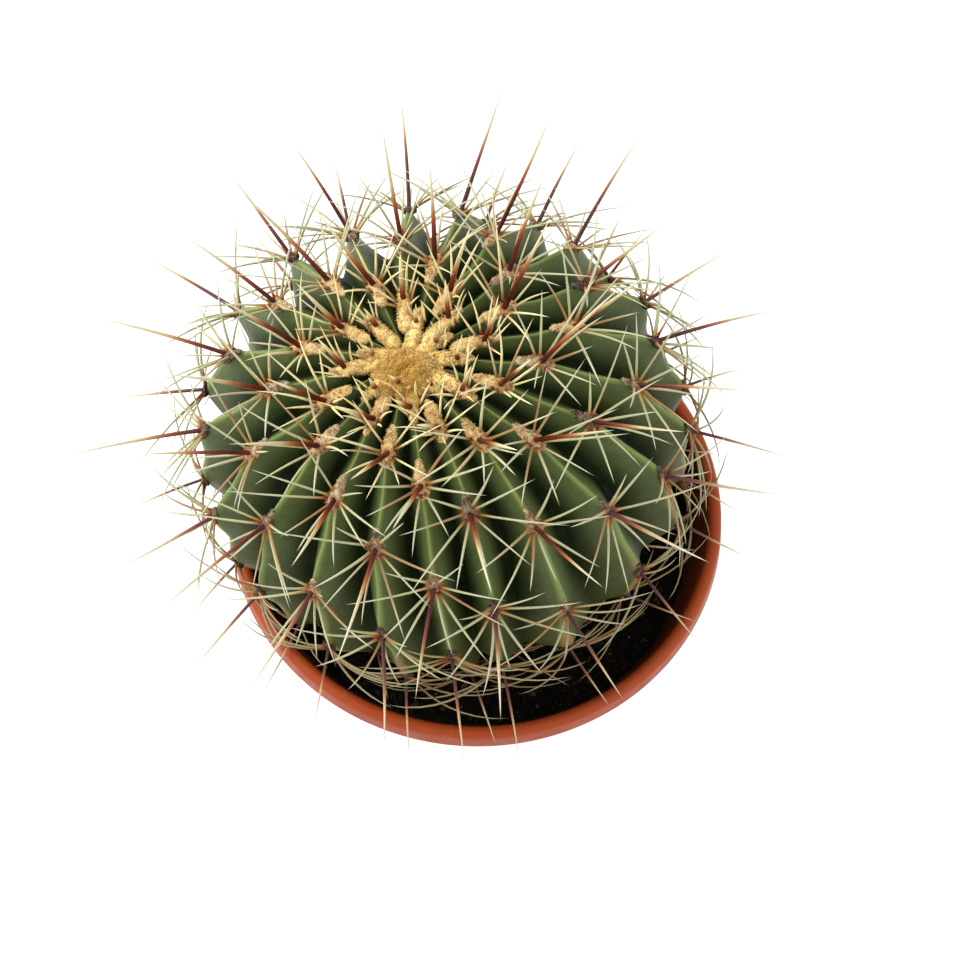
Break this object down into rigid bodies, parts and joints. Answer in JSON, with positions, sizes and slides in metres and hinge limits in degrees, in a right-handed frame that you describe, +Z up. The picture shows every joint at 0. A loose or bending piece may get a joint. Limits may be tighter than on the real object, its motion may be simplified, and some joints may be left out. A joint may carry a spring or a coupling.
{
  "type": "potted round cactus",
  "caption": "Many-ribbed globe cactus with long straight central spines, pale radial spines and a woolly crown, in dark soil in a shallow plastic bowl.",
  "frame": {"origin": "middle of the flat underside of the pot", "axes": "+Z up along the axis of the pot; the plant leans towards -X and a little towards -Y, the front"},
  "size_m": [0.2754, 0.2656, 0.2547],
  "materials": {
    "pot": "satin",
    "soil": "matte",
    "cactus": "satin",
    "wool": "matte"
  },
  "bodies": {
    "root": {"pot": "pot", "soil": "soil", "cactus": "cactus", "crown_wool": "wool"}
  },
  "joints": []
}
